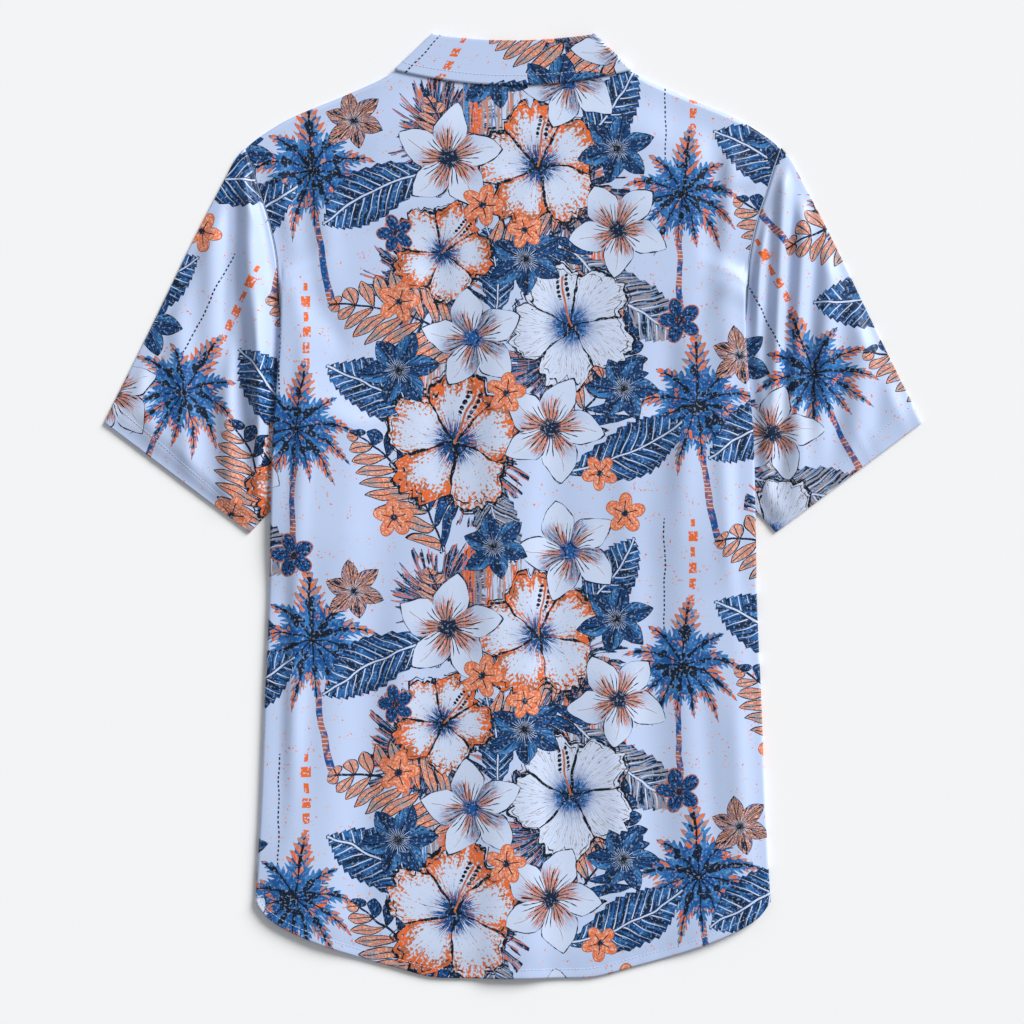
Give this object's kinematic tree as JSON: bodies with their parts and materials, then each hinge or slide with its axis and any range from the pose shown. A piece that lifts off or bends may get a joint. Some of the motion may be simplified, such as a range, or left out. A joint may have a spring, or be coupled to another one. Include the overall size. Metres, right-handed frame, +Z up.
{
  "type": "hawaiian shirt",
  "caption": "Short-sleeved, button-front shirt with an open camp collar and a curved hem, laid flat face down with its sides turned under.",
  "frame": {"origin": "centre of the outline, on the surface that the shirt lies on", "axes": "+Z up out of the surface, +Y towards the collar, +X towards the wearer's right (the shirt lies face down)"},
  "size_m": [0.697, 0.8048, 0.0095],
  "materials": {
    "printed_cloth": "smooth printed polyester with a soft satin sheen",
    "button": "polished polyester resin"
  },
  "bodies": {
    "root": {"back": "printed_cloth", "front_left": "printed_cloth", "front_right": "printed_cloth", "sleeve_left": "printed_cloth", "sleeve_right": "printed_cloth", "collar": "printed_cloth", "lapel_left": "printed_cloth", "lapel_right": "printed_cloth", "button_1": "button", "button_2": "button", "button_3": "button", "button_4": "button", "button_5": "button", "button_6": "button"}
  },
  "joints": []
}
